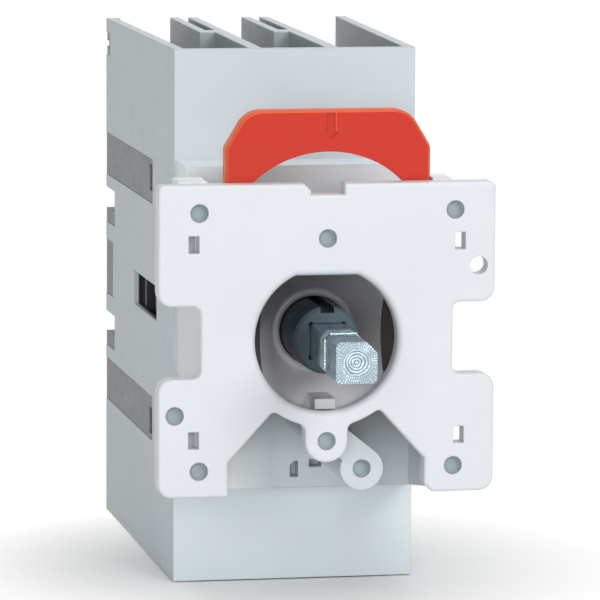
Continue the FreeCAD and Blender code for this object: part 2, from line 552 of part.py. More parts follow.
def rear_voids():
    core = tapered("recess_core", "band_sink", "-rear_half_height", "rear_half_height")
    corner = tapered("corner_core", "corner_sink", "-rear_half_height", "rear_half_height")
    voids = [well(1, "upper_well"), well(-1, "lower_well")]
    voids.append(box("chamber", (f"-{CHAMBER_SIDE}", CHAMBER_SIDE),
                     ("body_front+wall", f"{COVER_START}+1"), ("-chamber_half", "chamber_half")))
    voids.append(box("cover_seat", (f"-({COVER_HALF}+cover_play)", f"{COVER_HALF}+cover_play"),
                     (COVER_START, f"{BACK}+1"),
                     ("-(cover_half_height+cover_play)", "cover_half_height+cover_play")))
    voids.append(rod("rear_bore", "y", "coupler_radius+turning_play", ("0", "body_front-1", "0"), "wall+2"))
    for name, start, low, high in ARMS:
        z = (f"{low}-cover_play/2", f"{high}+cover_play/2")
        voids.append(side_recess(f"{name}_recess", core, (f"{start}-cover_play/2", f"{BACK}+1"), z))
        voids.append(across(f"{name}_way", (f"{BACK}-arm_bridge-cover_play", f"{BACK}+1"), z))
    for side, low, high in GROOVES:
        voids.append(groove(f"groove_{side}", low, high))
    middle = "(corner_pocket_low+corner_pocket_high)/2"
    voids.append(common("corner_pocket_left", side_recess(
        "corner_pocket", corner, (f"{BACK}-corner_pocket_deep", f"{BACK}+1"),
        ("corner_pocket_low", "corner_pocket_high")), box("corner_pocket_side", ("-rear_half_back-1", "0"), (
            f"{BACK}-corner_pocket_deep-1", f"{BACK}+2"), ("corner_pocket_low-1", "corner_pocket_high+1"))))
    voids.append(rod("corner_hole", "x", "corner_hole_radius",
                     ("-rear_half_back-1", f"{BACK}-corner_hole_in", middle), "rear_half_back"))
    margin = ("-(window_half+window_margin)", "window_half+window_margin")
    voids.append(common("window_pocket", tapered("window_pocket_plan", "window_wall", *margin),
                        across("window_pocket_reach", ("body_front+window_front-window_margin",
                                                       "body_front+window_back+window_margin"), margin)))
    for sign in (1, -1):
        side = "right" if sign > 0 else "left"
        voids.append(box(f"side_window_{side}", both(sign, f"{CHAMBER_SIDE}-1", "rear_half_back+1"),
                         ("body_front+window_front", "body_front+window_back"),
                         ("-window_half", "window_half")))
        for pole in (-1, 0, 1):
            tag = f"{'upper' if sign > 0 else 'lower'}_{pole + 2}"
            wide, thick = "(bar_wide/2+bar_play)", "(bar_thick/2+bar_play)"
            voids.append(box(f"bar_slot_{tag}", (f"{pole_x(pole)}-{wide}", f"{pole_x(pole)}+{wide}"),
                             (f"{TERMINAL}-{thick}", f"{TERMINAL}+{thick}"),
                             both(sign, "chamber_half-1", "well_floor+1")))
    return voids


def rear_housing():
    shell = tapered("rear_outer", "0", "-rear_half_height", "rear_half_height")
    pieces = [less("rear_hollowed", shell, rear_voids())]
    for sign, level in ((1, "upper"), (-1, "lower")):
        pieces += [fin(sign, side, f"fin_{level}_{'right' if side > 0 else 'left'}") for side in (1, -1)]
    pieces.append(box("corner_lip", both(-1, "rear_half_back-wall-lip_reach", "rear_half_back-wall/2"),
                      (f"{BACK}-lip_deep", BACK), ("rear_half_height-lip_tall", "rear_half_height")))
    solid = joined("rear_filled", pieces)
    bosses, holes = [], []
    for sign in (1, -1):
        for t in (1, -1):
            tag = f"{'r' if sign > 0 else 'l'}{'u' if t > 0 else 'd'}"
            x, z, z_cover = f"{sign}*{FIXING_X}", f"{t}*fixing_z", f"{t}*cover_screw_z"
            bosses.append(rod(f"front_boss_{tag}", "y", "fixing_radius+boss_wall",
                              (x, "body_front+wall/2", z), "fixing_long"))
            holes.append(rod(f"front_tap_{tag}", "y", "fixing_radius+fixing_play", (x, "body_front-1", z),
                             "fixing_long+1+fixing_play"))
            bosses.append(rod(f"cover_boss_{tag}", "y", "fixing_radius+cover_boss_wall",
                              (x, f"{COVER_START}-cover_boss_long", z_cover), "cover_boss_long"))
            holes.append(rod(f"cover_tap_{tag}", "y", "fixing_radius+fixing_play",
                             (x, f"{COVER_START}-cover_boss_long+head_sunk", z_cover), "cover_boss_long"))
    keep("rear_housing", less("rear_moulding", joined("rear_with_bosses", [solid] + bosses), holes))


# Rear cover: the dark base that closes the chamber, carries the back bearing and clasps the sides
def rear_cover():
    plate = box("cover_block", (f"-{COVER_HALF}", COVER_HALF), (COVER_START, BACK),
                ("-cover_half_height", "cover_half_height"))
    outer = tapered("arm_outer", "arm_flush", "-rear_half_height", "rear_half_height")
    inner = tapered("arm_inner", "band_sink-arm_flush", "-rear_half_height", "rear_half_height")
    arms = []
    for name, start, low, high in ARMS:
        layer = less(f"{name}_layer", across(f"{name}_block", (start, BACK), (low, high)), [inner])
        bridge = across(f"{name}_bridge", (f"{BACK}-arm_bridge", BACK), (low, high))
        arms.append(common(f"{name}_shaped", joined(f"{name}_whole", [layer, bridge]), outer))
    deep = tapered("catch_core", "catch_sink", "-rear_half_height", "rear_half_height")
    voids = [catch(sign, f"catch_{i}", "body_front+band_front+catch_start", deep)
             for i, sign in enumerate((1, -1))]
    voids += [groove(f"cover_groove_{side}", low, high) for side, low, high in GROOVES]
    voids.append(rod("cover_bearing", "y", "stub_radius+turning_play", ("0", f"{COVER_START}-1", "0"),
                     "stub_long"))
    for t, side in ((1, "upper"), (-1, "lower")):
        voids.append(box(f"cover_pocket_{side}", (f"-{COVER_HALF}+cover_rib", f"{COVER_HALF}-cover_rib"),
                         (f"{COVER_START}-1", f"{BACK}-cover_skin"),
                         both(t, "groove_high+cover_margin", "cover_half_height-cover_margin")))
        for sign in (1, -1):
            tag = f"{'r' if sign > 0 else 'l'}_{side}"
            x, z = f"{sign}*{FIXING_X}", f"{t}*cover_screw_z"
            voids.append(rod(f"cover_hole_{tag}", "y", "fixing_radius+fixing_play",
                             (x, f"{COVER_START}-1", z), "rear_depth"))
            voids.append(rod(f"cover_sink_{tag}", "y", "fixing_head_radius+2*fixing_play",
                             (x, f"{BACK}-fixing_head-head_sunk", z), "cover_thick"))
    keep("rear_cover", less("cover_moulding", joined("cover_whole", [plate] + arms), voids))


# Side vanes: dark baffles in the chamber, just inside the side windows
def side_vanes():
    slabs = []
    for sign, side in ((1, "right"), (-1, "left")):
        face = f"({CHAMBER_SIDE}-vane_sink)"
        floor = f"({face}-vane_long)"
        start = "(body_front+window_front)"
        pieces = [box(f"vane_back_{side}", both(sign, f"{floor}-vane_back", floor),
                      (f"{start}-vane_reach", "body_front+window_back+vane_reach/2"), ("-vane_half", "vane_half"))]
        for i, (step, reach) in enumerate((("-vane_thick-vane_sink", "0"), ("vane_first", "vane_step"),
                                           ("vane_second", "2*vane_step"))):
            pieces.append(box(f"vane_{side}_{i}", both(sign, f"{floor}-vane_back/2", f"{face}+{reach}"),
                              (f"{start}+{step}", f"{start}+{step}+vane_thick"), ("-vane_half", "vane_half")))
        slabs.append(joined(f"vanes_{side}", pieces))
    group("side_vanes", slabs)


# Drive line: square shaft, coupler and contact drum turn as one
def drive_shaft():
    square = ("-head_square/2", "head_square/2")
    head = box("head_block", square, ("-shaft_end", "head_long-shaft_end"), square)
    half = size("head_square") / 2
    head = rounded("head_big_bevel", head, "head_big_cut", lambda e: along_y(e, half, half), "Part::Chamfer")
    small = [(half, -half), (-half, half), (-half, -half)]
    head = rounded("head_bevels", head, "head_cut", lambda e: any(along_y(e, *p) for p in small),
                   "Part::Chamfer")
    stop = ("-head_square/2-shoulder_lip", "head_square/2+shoulder_lip")
    cone_start, disc = "head_long-shaft_end+shoulder_long", "(head_square/2+shoulder_lip)*1.22"
    turned = joined("shoulder_turned", [
        rod("shoulder_disc", "y", disc, ("0", "head_long-shaft_end", "0"), "shoulder_long"),
        funnel("shoulder_cone", disc, "neck_square*0.56", ("0", cone_start, "0"),
               "shaft_end-head_long-shoulder_long-neck_long")])
    limit = box("shoulder_block", stop, ("head_long-shaft_end", "-neck_long"), stop)
    corner = half + size("shoulder_lip")
    limit = rounded("shoulder_bevel", limit, "head_big_cut", lambda e: along_y(e, corner, corner), "Part::Chamfer")
    shoulder = common("shoulder", turned, limit)
    neck = box("neck", ("-neck_square/2", "neck_square/2"), ("-neck_long", "shaft_grip"),
               ("-neck_square/2", "neck_square/2"))
    keep("drive_shaft", joined("shaft_turned", [head, shoulder, neck]))


def shaft_coupler():
    lead = funnel("coupler_lead_in", "coupler_radius-coupler_lead", "coupler_radius", ("0", "0", "0"),
                  "coupler_lead")
    start = "(body_front+wall+flange_gap)"
    barrel = rod("coupler_barrel", "y", "coupler_radius", ("0", "coupler_lead", "0"),
                 f"{start}+flange_gap-coupler_lead")
    flange = rod("coupler_flange", "y", "flange_radius", ("0", start, "0"), "flange_thick")
    socket = "(neck_square/2+socket_play)"
    tenon = "(tenon_square/2+socket_play)"
    voids = [
        box("coupler_socket", (f"-{socket}", socket), ("-1", "shaft_grip+2*socket_play"),
            (f"-{socket}", socket)),
        box("coupler_keyway", ("-keyway_wide/2", "keyway_wide/2"), ("-1", "body_front-1"),
            ("coupler_radius-keyway_deep", "coupler_radius+1")),
        box("coupler_tenon", (f"-{tenon}", tenon), (f"{DRUM_START}-tenon-2*socket_play", f"{DRUM_START}+1"),
            (f"-{tenon}", tenon)),
    ]
    relief = "socket_relief"
    for sx in (1, -1):
        for sz in (1, -1):
            tag = f"{sx}{sz}".replace("-", "m")
            voids.append(rod(f"coupler_relief_{tag}", "y", relief,
                             (f"({sx})*({socket}-{relief}/2)", "-1", f"({sz})*({socket}-{relief}/2)"),
                             "shaft_grip+1+2*socket_play"))
    keep("shaft_coupler", less("coupler_moulding", joined("coupler_turned", [lead, barrel, flange]), voids))


def pole_x(pole):
    """Where a pole's terminal stands across the switch."""
    return f"({pole}*pole_pitch-pole_shift)"


def deck(pole):
    """How deep a pole's blade lies."""
    return f"(body_front+deck_start+{pole + 1}*{DECK_STEP})"


def contact_drum():
    barrel = rod("drum_barrel", "y", "drum_radius", ("0", DRUM_START, "0"), f"{DRUM_END}-{DRUM_START}")
    tenon = box("drum_tenon", ("-tenon_square/2", "tenon_square/2"), (f"{DRUM_START}-tenon", f"{DRUM_START}+1"),
                ("-tenon_square/2", "tenon_square/2"))
    stub = rod("drum_stub", "y", "stub_radius", ("0", f"{DRUM_END}-1", "0"), "stub_long+1")
    slots = [box(f"drum_slot_{pole + 2}", ("-drum_radius-1", "drum_radius+1"),
                 (f"{deck(pole)}-blade_thick/2-socket_play", f"{deck(pole)}+blade_thick/2+socket_play"),
                 ("-blade_wide/2-socket_play", "blade_wide/2+socket_play")) for pole in (-1, 0, 1)]
    keep("contact_drum", less("drum_moulding", joined("drum_turned", [barrel, tenon, stub]), slots))


def contact_blade(pole):
    blade = box(f"blade_strip_{pole + 2}", ("-blade_reach", "blade_reach"),
                (f"{deck(pole)}-blade_thick/2", f"{deck(pole)}+blade_thick/2"),
                ("-blade_wide/2", "blade_wide/2"))
    tips = [(s * size("blade_reach"), t * size("blade_wide") / 2) for s in (1, -1) for t in (1, -1)]
    blade = rounded(f"blade_tips_{pole + 2}", blade, "blade_tip",
                    lambda e: any(along_y(e, x, z) for x, z in tips))
    keep(f"contact_blade_{pole + 2}", blade)


# Fixed contacts: jaws at the drum, a bent bar, and a tongue in the terminal
def fixed_contact(pole, sign, name):
    y, x = deck(pole), pole_x(pole)
    half = "bar_wide/2"
    gap = "(blade_thick/2+blade_play)"
    level = both(sign, "bar_level", "bar_level+bar_thick")
    jaw = both(sign, "jaw_inner", "jaw_root+bar_thick")
    reach = (f"-{half}", f"{x}+{half}") if pole > 0 else (f"{x}-{half}", half)
    first, last = sorted([y, TERMINAL], key=sheet_value)
    tongue_end = f"{CLAMP_FOOT}+clamp_tall+bar_over"
    pieces = [
        box(f"{name}_jaw_front", (f"-{half}", half), (f"{y}-{gap}-jaw_leaf", f"{y}-{gap}"), jaw),
        box(f"{name}_jaw_back", (f"-{half}", half), (f"{y}+{gap}", f"{y}+{gap}+jaw_leaf"), jaw),
        box(f"{name}_root", (f"-{half}", half), (f"{y}-{gap}-jaw_leaf", f"{y}+{gap}+jaw_leaf"),
            both(sign, "jaw_root", "jaw_root+bar_thick")),
        box(f"{name}_riser", (f"-{half}", half), (f"{y}-bar_thick/2", f"{y}+bar_thick/2"),
            both(sign, "jaw_root", "bar_level+bar_thick")),
        box(f"{name}_cross", reach, (f"{y}-{half}", f"{y}+{half}"), level),
        box(f"{name}_run", (f"{x}-{half}", f"{x}+{half}"), (f"{first}-bar_thick/2", f"{last}+bar_thick/2"), level),
        box(f"{name}_tongue", (f"{x}-{half}", f"{x}+{half}"),
            (f"{TERMINAL}-bar_thick/2", f"{TERMINAL}+bar_thick/2"), both(sign, "bar_level", tongue_end)),
    ]
    keep(name, joined(f"{name}_bent", pieces))


def terminal_clamp(pole, sign, name):
    """A cage round the tongue, with a screw that closes it on the wire."""
    x = pole_x(pole)
    cage = box(f"{name}_block", (f"{x}-clamp_wide/2", f"{x}+clamp_wide/2"),
               (CLAMP_FRONT, f"{CLAMP_FRONT}+clamp_deep"), both(sign, CLAMP_FOOT, f"{CLAMP_FOOT}+clamp_tall"))
    way = box(f"{name}_way", (f"{x}-clamp_wide/2+clamp_side", f"{x}+clamp_wide/2-clamp_side"),
              (f"{CLAMP_FRONT}+clamp_wall", f"{CLAMP_FRONT}+clamp_deep-clamp_wall"),
              both(sign, f"{CLAMP_FOOT}-1", f"{CLAMP_FOOT}+clamp_tall+1"))
    hole = rod(f"{name}_hole", "y", "screw_radius+fixing_play",
               (x, f"{CLAMP_FRONT}+clamp_deep-clamp_wall-1", f"({sign})*({CLAMP_FOOT}+clamp_tall/2)"),
               "clamp_wall+2")
    keep(name, less(f"{name}_cage", cage, [way, hole]))


def group(node, pieces):
    """Like pieces kept as one sub-part of separate solids."""
    gathered = doc.addObject("Part::Compound", f"{node}_group")
    gathered.Links = pieces
    keep(node, gathered)


def screw(name, x, y_seat, z, radius, length, head_radius, head, turn):
    """A slotted screw along Y whose head bears on y_seat; turn is 1 for a head in front, -1 behind."""
    start = y_seat if turn > 0 else f"{y_seat}-({length})"
    shank = rod(f"{name}_shank", "y", radius, (x, start, z), length)
    low = f"{y_seat}-{head}" if turn > 0 else y_seat
    cap = rod(f"{name}_cap", "y", head_radius, (x, low, z), head)
    outer = low if turn > 0 else f"{y_seat}+{head}"
    slot = box(f"{name}_slot", (f"{x}-head_slot/2", f"{x}+head_slot/2"),
               (f"{outer}-{head}*0.45", f"{outer}+{head}*0.45"),
               (f"{z}-{head_radius}-1", f"{z}+{head_radius}+1"))
    return less(name, joined(f"{name}_turned", [shank, cap]), [slot])


def fasteners():
    terminal = [screw(f"terminal_screw_{'u' if s > 0 else 'd'}{pole + 2}", pole_x(pole),
                      f"{CLAMP_FRONT}+clamp_deep+screw_lift", f"({s})*({CLAMP_FOOT}+clamp_tall/2)",
                      "screw_radius", "screw_long", "screw_head_radius", "screw_head", -1)
                for s in (1, -1) for pole in (-1, 0, 1)]
    group("terminal_screws", terminal)
    corners = [(s, t) for s in (1, -1) for t in (1, -1)]
    front = [screw(f"front_screw_{i}", f"{s}*{FIXING_X}", "body_front-front_slab", f"{t}*fixing_z",
                   "fixing_radius", "front_slab+fixing_long", "fixing_head_radius", "fixing_head", 1)
             for i, (s, t) in enumerate(corners)]
    group("front_housing_screws", front)
    back = [screw(f"cover_screw_{i}", f"{s}*{FIXING_X}", f"{BACK}-fixing_head-head_sunk",
                  f"{t}*cover_screw_z", "fixing_radius", "cover_thick-fixing_head-head_sunk+cover_bite",
                  "fixing_head_radius", "fixing_head", -1) for i, (s, t) in enumerate(corners)]
    group("cover_screws", back)


# Snap spring: a coil round the drum that throws it over centre
def snap_spring():
    spring = doc.addObject("Part::Feature", "spring_wire_form")
    pitch = size("spring_wire") * 1.15
    radius, wire = size("spring_radius"), size("spring_wire") / 2
    coil = Part.makeHelix(pitch, pitch * size("spring_turns"), radius)
    section = Part.Wire(Part.makeCircle(wire, FreeCAD.Vector(radius, 0, 0), FreeCAD.Vector(0, 1, 0)))
    spring.Shape = Part.Wire(coil.Edges).makePipeShell([section], True, True)
    spring.Placement = FreeCAD.Placement(FreeCAD.Vector(), FACING["y"])
    seat(spring, "0", f"{DRUM_START}+spring_gap", "0")
    keep("snap_spring", spring)


mounting_plate()
release_slide()
front_housing()
rear_housing()
rear_cover()
side_vanes()
drive_shaft()
shaft_coupler()
contact_drum()
for pole in (-1, 0, 1):
    contact_blade(pole)
    for sign, side in ((1, "line"), (-1, "load")):
        fixed_contact(pole, sign, f"{side}_contact_{pole + 2}")
        terminal_clamp(pole, sign, f"{side}_clamp_{pole + 2}")
fasteners()
snap_spring()

doc.recompute()
for obj in doc.Objects:
    if "Invalid" in obj.State or "Error" in obj.State:
        raise RuntimeError(f"{obj.Name} failed: {obj.State}")
os.makedirs("parts", exist_ok=True)
for node, obj in NODES.items():
    if obj.Shape.isNull() or not obj.Shape.isValid() or not obj.Shape.Solids:
        raise RuntimeError(f"{node} has no sound solid")
    obj.Shape.exportStep(f"parts/{node}.step")
    print(f"{node}: {len(obj.Shape.Solids)} solid, {obj.Shape.Volume:.1f} mm3")
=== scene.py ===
"""The looks of a rotary switch disconnector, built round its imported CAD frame. Metres, +Z up."""

import json
import math

import bmesh
import bpy
from mathutils import Matrix, Vector


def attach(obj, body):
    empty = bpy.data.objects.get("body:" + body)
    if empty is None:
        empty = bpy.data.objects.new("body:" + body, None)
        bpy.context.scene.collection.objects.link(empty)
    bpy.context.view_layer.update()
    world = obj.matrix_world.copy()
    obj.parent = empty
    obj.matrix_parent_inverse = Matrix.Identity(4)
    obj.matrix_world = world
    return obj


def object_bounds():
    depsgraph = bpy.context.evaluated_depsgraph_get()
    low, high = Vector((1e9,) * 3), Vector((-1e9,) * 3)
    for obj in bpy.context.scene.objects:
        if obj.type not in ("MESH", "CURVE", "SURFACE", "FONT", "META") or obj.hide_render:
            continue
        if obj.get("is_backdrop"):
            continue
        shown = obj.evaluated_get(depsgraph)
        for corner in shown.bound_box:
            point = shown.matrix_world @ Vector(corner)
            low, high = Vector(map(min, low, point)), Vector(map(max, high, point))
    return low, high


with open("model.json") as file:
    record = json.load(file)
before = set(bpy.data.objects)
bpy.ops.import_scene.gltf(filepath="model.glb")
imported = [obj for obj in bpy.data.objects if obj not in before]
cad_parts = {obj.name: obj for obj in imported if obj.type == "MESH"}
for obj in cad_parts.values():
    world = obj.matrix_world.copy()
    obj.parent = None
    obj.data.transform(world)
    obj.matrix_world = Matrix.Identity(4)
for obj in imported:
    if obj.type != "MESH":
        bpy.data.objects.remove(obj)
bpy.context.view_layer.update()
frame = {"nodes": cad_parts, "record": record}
MM = 0.001

# Sizes and places that the looks share with the CAD model, in millimetres.
PATTERN_HALF = 18.0
FRONT_FACE = 25.5
# From BOWL_RADIUS to CATCH_LEVEL, places that bound painted shade and painted light in the materials.
BOWL_RADIUS = 11.9
KEY_RING = (8, 10.03)
KEY_DEPTH = (1.2, 4)
GAP_RIGHT, GAP_LEFT, GAP_HALF = (8.95, 15.5), (-15.5, -8.15), 7.6
SIDE_WALL = 16.9
WELL_SIDE, WELL_DEPTH, WELL_LEVEL = 16.3, (26.9, 84.3), (22.4, 38.35)
WALL_TAPER = 0.022
HOLLOW_SIDE, HOLLOW_DEPTH, HOLLOW_HALF = (8, 17.55), (35, 68), 3.9
POCKET_DEPTH, POCKET_LEVEL = (80.95, 90), (32.95, 36.35)
VANES_FROM = 9.0
SHAFT_SHOULDER = (-13.05, -9.8)
CATCH_DEPTH = (43.4, 46.0)
CATCH_LEVEL = (16.1, 20.1)
PILOT_RADIUS = 1.28
PILOT_DEEP = 1.2
UPPER_HOLE_RISE = 14.25
EAR_DROP = 14.15
SIDE_HOLE = (-21.4, -10.15)
SLOT_LEVEL = 13.65
BOSS = (5.8, 4.0, -18.85)
SLIDE_FRONT = 3.05
ARROW_STEM = (0.425, 1.575)
ARROW_HEAD, ARROW_TOP = 28.75, 31.4


def linear(code):
    """A hex colour as linear red, green, blue and alpha."""
    values = [int(code[i:i + 2], 16) / 255 for i in (0, 2, 4)]
    return [v / 12.92 if v <= 0.04045 else ((v + 0.055) / 1.055) ** 2.4 for v in values] + [1.0]


class Shader:
    """A material under construction: adds nodes by type and links them by name."""

    def __init__(self, name):
        self.material = bpy.data.materials.new(name)
        self.material.use_nodes = True
        self.nodes = self.material.node_tree.nodes
        self.links = self.material.node_tree.links
        self.surface = self.nodes["Principled BSDF"]
        self.place = self.add("ShaderNodeTexCoord").outputs["Object"]

    def add(self, kind, **settings):
        node = self.nodes.new(kind)
        for key, value in settings.items():
            setattr(node, key, value)
        return node

    def join(self, source, target):
        self.links.new(source, target)

    def math(self, operation, first, second=None):
        node = self.add("ShaderNodeMath", operation=operation)
        for socket, value in zip(node.inputs, (first, second)):
            if hasattr(value, "is_output"):
                self.join(value, socket)
            elif value is not None:
                socket.default_value = value
        return node.outputs[0]

    def noise(self, size_mm, detail=2.0, stretch=(1, 1, 1)):
        """Noise whose grains are about size_mm across, drawn out along an axis by stretch."""
        grain = self.add("ShaderNodeTexNoise")
        grain.inputs["Scale"].default_value = 1 / (size_mm * MM)
        grain.inputs["Detail"].default_value = detail
        scaled = self.add("ShaderNodeMapping")
        scaled.inputs["Scale"].default_value = [1 / s for s in stretch]
        self.join(self.place, scaled.inputs["Vector"])
        self.join(scaled.outputs["Vector"], grain.inputs["Vector"])
        return grain.outputs["Fac"]

    def spread(self, source, low, high, start=0.3, end=0.7):
        """Maps a 0 to 1 value so that start gives low and end gives high."""
        node = self.add("ShaderNodeMapRange")
        for word, value in (("From Min", start), ("From Max", end), ("To Min", low), ("To Max", high)):
            node.inputs[word].default_value = value
        self.join(source, node.inputs["Value"])
        return node.outputs["Result"]

    def mix(self, factor, first, second):
        node = self.add("ShaderNodeMix", data_type="RGBA")
        self.join(factor, node.inputs["Factor"])
        for socket, value in ((node.inputs[6], first), (node.inputs[7], second)):
            if hasattr(value, "is_output"):
                self.join(value, socket)
            else:
                socket.default_value = value
        return node.outputs[2]

    def axes(self):
        """The place's X, Y and Z."""
        split = self.add("ShaderNodeSeparateXYZ")
        self.join(self.place, split.inputs[0])
        return split.outputs["X"], split.outputs["Y"], split.outputs["Z"]

    def length(self, first, second):
        return self.math("SQRT", self.math("ADD", self.math("MULTIPLY", first, first),
                                           self.math("MULTIPLY", second, second)))

    def between(self, source, low_mm, high_mm, soft_mm=0.05):
        """1 where a length lies between the two values, 0 elsewhere."""
        rise = self.spread(source, 0, 1, (low_mm - soft_mm) * MM, (low_mm + soft_mm) * MM)
        fall = self.spread(source, 1, 0, (high_mm - soft_mm) * MM, (high_mm + soft_mm) * MM)
        return self.math("MULTIPLY", rise, fall)

    def all_of(self, first, *others):
        """The product of several 0 to 1 values."""
        for other in others:
            first = self.math("MULTIPLY", first, other)
        return first

    def colour(self, source):
        self.join(source, self.surface.inputs["Base Color"])

    def roughness(self, source):
        self.join(source, self.surface.inputs["Roughness"])

    def bump(self, height, depth_mm, strength=1.0):
        """Relief of depth_mm, laid over any relief that is there already."""
        node = self.add("ShaderNodeBump")
        node.inputs["Distance"].default_value = depth_mm * MM
        node.inputs["Strength"].default_value = strength
        self.join(height, node.inputs["Height"])
        target = self.surface.inputs["Normal"]
        if target.is_linked:
            self.join(target.links[0].from_socket, node.inputs["Normal"])
        self.join(node.outputs["Normal"], target)


def shade(code, factor):
    return [v * factor for v in linear(code)[:3]] + [1.0]


def plastic(name, code, grain_mm, relief_mm, rough=(0.38, 0.5), drift=0.03, edge_mm=0.0):
    """Moulded plastic: an even colour with faint flow clouds and a fine eroded texture."""
    s = Shader(name)
    s.body_colour = s.mix(s.spread(s.noise(9.0, 3), 0, 1), shade(code, 1 - drift), shade(code, 1 + drift))
    s.colour(s.body_colour)
    s.roughness(s.spread(s.noise(1.7, 3), *rough))
    if edge_mm:
        edges = s.add("ShaderNodeBevel", samples=4)
        edges.inputs["Radius"].default_value = edge_mm * MM
        s.join(edges.outputs["Normal"], s.surface.inputs["Normal"])
    s.bump(s.noise(grain_mm, 3), relief_mm)
    s.surface.inputs["Specular IOR Level"].default_value = 0.4
    return s


def white_plastic():
    """White moulding with painted shade behind the plate: a brownish grey in the bowl round the shaft, dark grey
    in the gaps beside it, grey on the key and in the hollows, and a painted highlight on the shelf at the top.
    """
    s = plastic("white_plastic", "dee1e5", 0.22, 0.006, rough=(0.34, 0.46), drift=0.012, edge_mm=0.25)
    s.bump(s.noise(6.0, 2), 0.03)
    x, y, z = s.axes()
    level = s.math("ABSOLUTE", z)
    # Painted shade in the bowl round the shaft: darker at the top and towards the left, pale at the bottom.
    bowl = s.math("MULTIPLY", s.between(s.length(x, z), -1, BOWL_RADIUS), s.spread(y, 0, 1, 3.0 * MM, 5.5 * MM))
    bowl_upper_shade = s.mix(s.spread(x, 0, 1, -8 * MM, 5 * MM), linear("6b6b6e"), linear("8e8d90"))
    bowl_shade = s.mix(s.spread(z, 0, 1, -10 * MM, 2 * MM), linear("e1dfe4"), bowl_upper_shade)
    # Painted shade, dark grey, in the gaps beside the tower.
    beside = s.math("MAXIMUM", s.between(x, *GAP_RIGHT), s.between(x, *GAP_LEFT))
    gap_shade = s.math("MULTIPLY", beside, s.math("MULTIPLY", s.between(level, -1, GAP_HALF), s.between(y, 4.5, 60)))
    # Painted shade on the housing behind the plate: grey on its walls, and below the tower lighter towards the
    # bottom left and darker towards the top right.
    side = s.mix(s.spread(x, 0, 1, -9.5 * MM, -4 * MM), linear("fbfeff"), linear("ccd4d7"))
    sunk = s.mix(s.spread(z, 0, 1, -19.5 * MM, -13.5 * MM), side, linear("b4b9bd"))
    wall = s.mix(s.between(s.math("ABSOLUTE", x), SIDE_WALL, 30), linear("d3d8db"), linear("e2e6e9"))
    below = s.mix(s.spread(z, 0, 1, -9.5 * MM, -7.5 * MM), sunk, wall)
    # Painted highlight on the shelf at the top, behind the slide.
    shelf = s.mix(s.spread(z, 0, 1, 13 * MM, 16 * MM), below, linear("f3fdff"))
    behind = s.mix(s.spread(y, 0, 1, 3.2 * MM, 3.8 * MM), s.body_colour, shelf)
    inner = s.mix(bowl, behind, bowl_shade)
    # Painted shade on the key under the shaft, a light grey.
    key = s.math("MULTIPLY", s.between(s.length(x, z), *KEY_RING), s.between(y, *KEY_DEPTH))
    s.colour(s.mix(key, s.mix(gap_shade, inner, linear("76716f")), linear("bfbcbe")))
    return s.material


def grey_plastic():
    """Light grey moulding with painted shade, deeper in the terminal wells and a rear pocket and dark inside the
    side windows, and painted light on the front face below the plate.
    """
    s = plastic("grey_plastic", "ced6da", 0.2, 0.005, rough=(0.44, 0.58), drift=0.018, edge_mm=0.2)
    s.bump(s.noise(11.0, 2), 0.04)
    x, y, z = s.axes()
    wide, level = s.math("ABSOLUTE", x), s.math("ABSOLUTE", z)
    # Painted shade in the terminal wells, which follow the taper of the walls.
    widening = s.math("MULTIPLY", s.math("SUBTRACT", y, FRONT_FACE * MM), WALL_TAPER)
    well_shade = s.all_of(s.between(s.math("SUBTRACT", wide, widening), -9, WELL_SIDE),
                    s.between(y, *WELL_DEPTH), s.between(level, *WELL_LEVEL))
    # Painted shade, nearly black, inside the side windows.
    hollow_shade = s.all_of(s.between(wide, *HOLLOW_SIDE, 0.1), s.between(y, *HOLLOW_DEPTH),
                      s.between(level, -1, HOLLOW_HALF))
    # Painted shade in a rear pocket.
    pocket = s.all_of(s.between(x, -20, -17), s.between(y, *POCKET_DEPTH), s.between(z, *POCKET_LEVEL))
    # Painted light on the front face below the plate, lifting the plate's shadow there.
    low_front_light = s.all_of(s.between(y, FRONT_FACE - 0.5, FRONT_FACE + 0.5), s.spread(z, 0, 1, -20 * MM, -21 * MM),
                         s.spread(z, 0, 1, -38 * MM, -30 * MM))
    body = s.mix(low_front_light, s.body_colour, linear("dfe7ea"))
    outside = s.mix(pocket, s.mix(well_shade, body, linear("a9b0b4")), linear("989fa2"))
    s.colour(s.mix(hollow_shade, outside, linear("343336")))
    return s.material


def orange_plastic():
    """Orange-red moulding with a painted highlight on bevels and edges, and on the arrow a painted shadow along
    the left side of its stem and a painted highlight along the right.
    """
    s = plastic("orange_plastic", "c82910", 0.25, 0.006, rough=(0.36, 0.48), drift=0.03)
    facing = s.add("ShaderNodeSeparateXYZ")
    s.join(s.add("ShaderNodeNewGeometry").outputs["Normal"], facing.inputs[0])
    # Painted highlight: faces that do not look along Y, the bevels and edges, are a lighter orange.
    flat = s.spread(s.math("ABSOLUTE", facing.outputs["Y"]), 0, 1, 0.80, 0.97)
    body = s.mix(flat, linear("df5a2a"), s.body_colour)
    x, y, z = s.axes()
    stem, marked = s.between(z, ARROW_HEAD, ARROW_TOP, 0.02), s.between(y, -1, SLIDE_FRONT + 0.4)
    left, right = ARROW_STEM
    # Painted shadow along the left side of the arrow's stem, painted highlight along its right side.
    shadow = s.all_of(s.between(x, left - 0.16, left + 0.1), stem, marked)
    sheen = s.all_of(s.between(x, right - 0.05, right + 0.12), stem, marked)
    s.colour(s.mix(sheen, s.mix(shadow, body, linear("a82a16")), linear("e8602f")))
    return s.material


